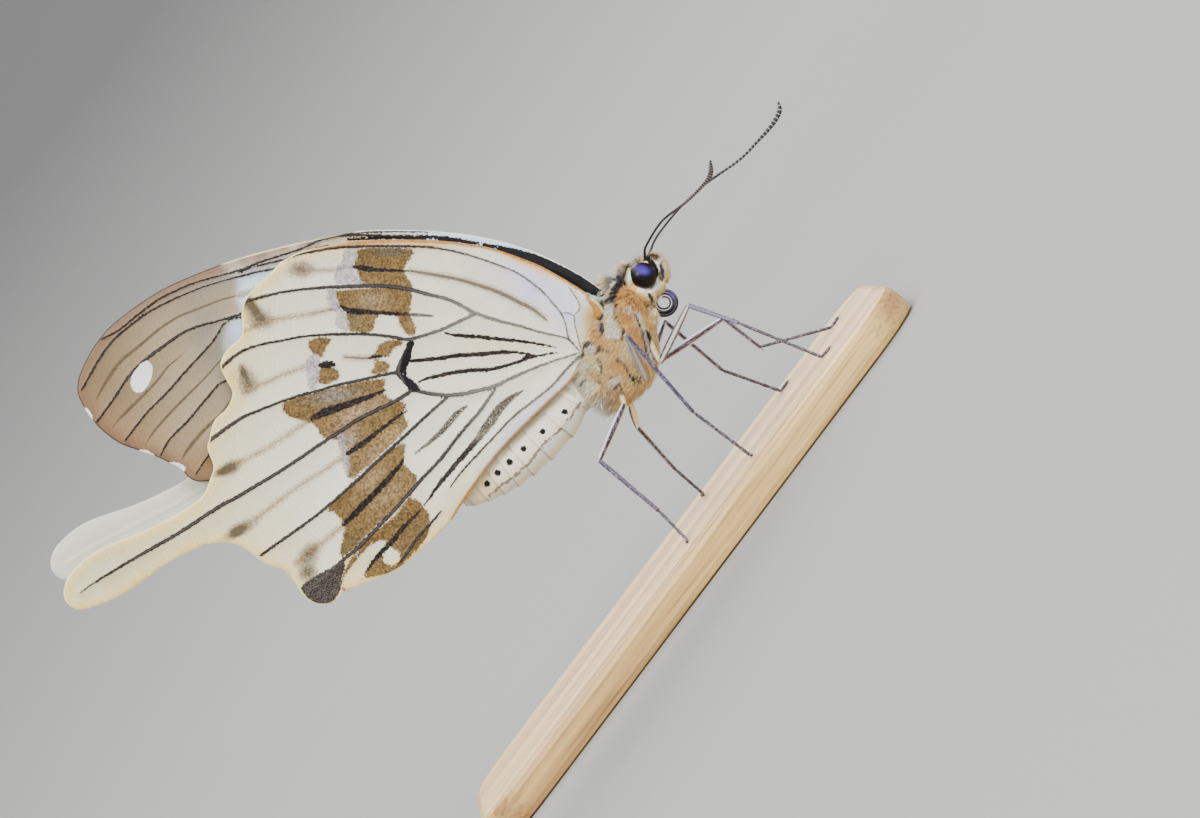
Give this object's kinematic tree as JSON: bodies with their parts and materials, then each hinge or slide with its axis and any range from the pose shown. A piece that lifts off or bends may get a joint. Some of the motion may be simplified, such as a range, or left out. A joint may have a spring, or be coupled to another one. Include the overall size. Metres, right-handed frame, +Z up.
{
  "type": "mocker swallowtail butterfly model, male",
  "caption": "Life-size still model of a male mocker swallowtail at rest, wings closed, undersides shown, standing on its six feet on a plain pale wood base.",
  "frame": {"origin": "centre of the flat underside of the display base", "axes": "+X forwards, the way the head and feelers point; +Y the animal's left; +Z up, away from the base"},
  "size_m": [0.083, 0.034, 0.0618],
  "materials": {
    "hindwing_underside": "matte",
    "forewing_underside": "matte",
    "thorax_hair": "matte",
    "abdomen_scales": "matte",
    "head_hair": "matte",
    "eye": "gloss",
    "feeler": "satin",
    "proboscis": "satin",
    "leg": "matte",
    "base_wood": "satin"
  },
  "bodies": {
    "root": {"head": "head_hair", "eye_left": "eye", "eye_right": "eye", "palp_left": "head_hair", "palp_right": "head_hair", "proboscis": "proboscis", "antenna_left": "feeler", "antenna_right": "feeler", "thorax": "thorax_hair", "abdomen": "abdomen_scales", "forewing_left": "forewing_underside", "forewing_right": "forewing_underside", "hindwing_left": "hindwing_underside", "hindwing_right": "hindwing_underside", "leg_fore_left": "leg", "leg_fore_right": "leg", "leg_mid_left": "leg", "leg_mid_right": "leg", "leg_hind_left": "leg", "leg_hind_right": "leg", "stand_base": "base_wood"}
  },
  "joints": []
}
